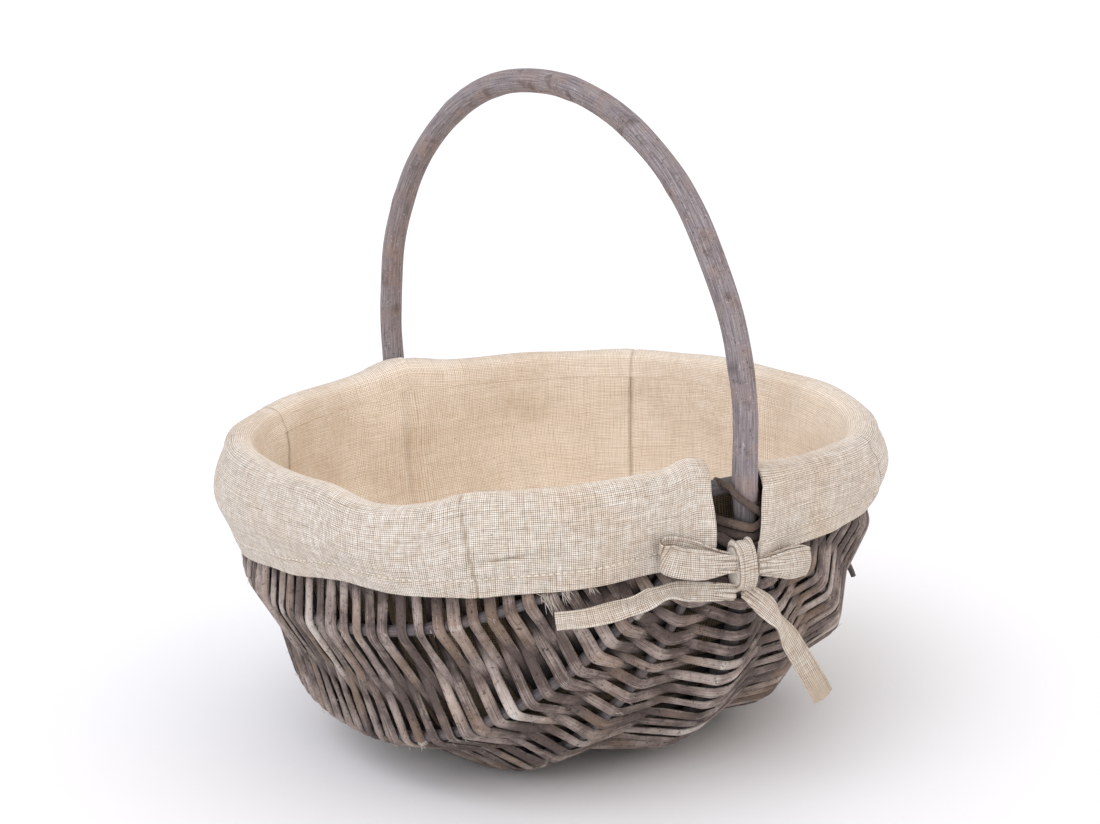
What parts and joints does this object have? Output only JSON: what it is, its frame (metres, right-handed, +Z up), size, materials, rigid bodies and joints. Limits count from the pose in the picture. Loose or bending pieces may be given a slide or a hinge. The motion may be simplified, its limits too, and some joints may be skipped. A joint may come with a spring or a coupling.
{
  "type": "lined wicker basket",
  "caption": "Oval frame basket woven from weathered split willow, with a fixed arched hoop handle and a canvas liner that is cuffed over the rim and tied with bows at the handle.",
  "frame": {"origin": "middle of the resting face under the keel, on the plane the basket stands on", "axes": "+X along the long way of the rim, across the handle; the handle arch stands in the YZ plane; +Z up"},
  "size_m": [0.4046, 0.4184, 0.4145],
  "materials": {
    "willow": "weathered grey-brown split willow",
    "willow_rod": "weathered grey willow rod with peeled patches",
    "canvas": "unbleached open-weave canvas"
  },
  "bodies": {
    "root": {"rim_hoop": "willow_rod", "handle_hoop": "willow_rod", "rib_a_left": "willow_rod", "rib_a_right": "willow_rod", "rib_b_left": "willow_rod", "rib_b_right": "willow_rod", "rib_c_left": "willow_rod", "rib_c_right": "willow_rod", "handle_skein_front": "willow", "handle_skein_back": "willow", "weaver_01": "willow", "weaver_02": "willow", "weaver_03": "willow", "weaver_04": "willow", "weaver_05": "willow", "weaver_06": "willow", "weaver_07": "willow", "weaver_08": "willow", "weaver_09": "willow", "weaver_10": "willow", "weaver_11": "willow", "weaver_12": "willow", "weaver_13": "willow", "weaver_14": "willow", "weaver_15": "willow", "weaver_16": "willow", "weaver_17": "willow", "weaver_18": "willow", "weaver_19": "willow", "weaver_20": "willow", "weaver_21": "willow", "liner_wall_1": "canvas", "liner_wall_2": "canvas", "liner_wall_3": "canvas", "liner_wall_4": "canvas", "liner_floor": "canvas", "liner_cuff_left": "canvas", "liner_cuff_right": "canvas", "bow_knot_front": "canvas", "bow_loop_left_front": "canvas", "bow_loop_right_front": "canvas", "bow_tail_left_front": "canvas", "bow_tail_right_front": "canvas", "bow_knot_back": "canvas", "bow_loop_left_back": "canvas", "bow_loop_right_back": "canvas", "bow_tail_left_back": "canvas", "bow_tail_right_back": "canvas"}
  },
  "joints": []
}
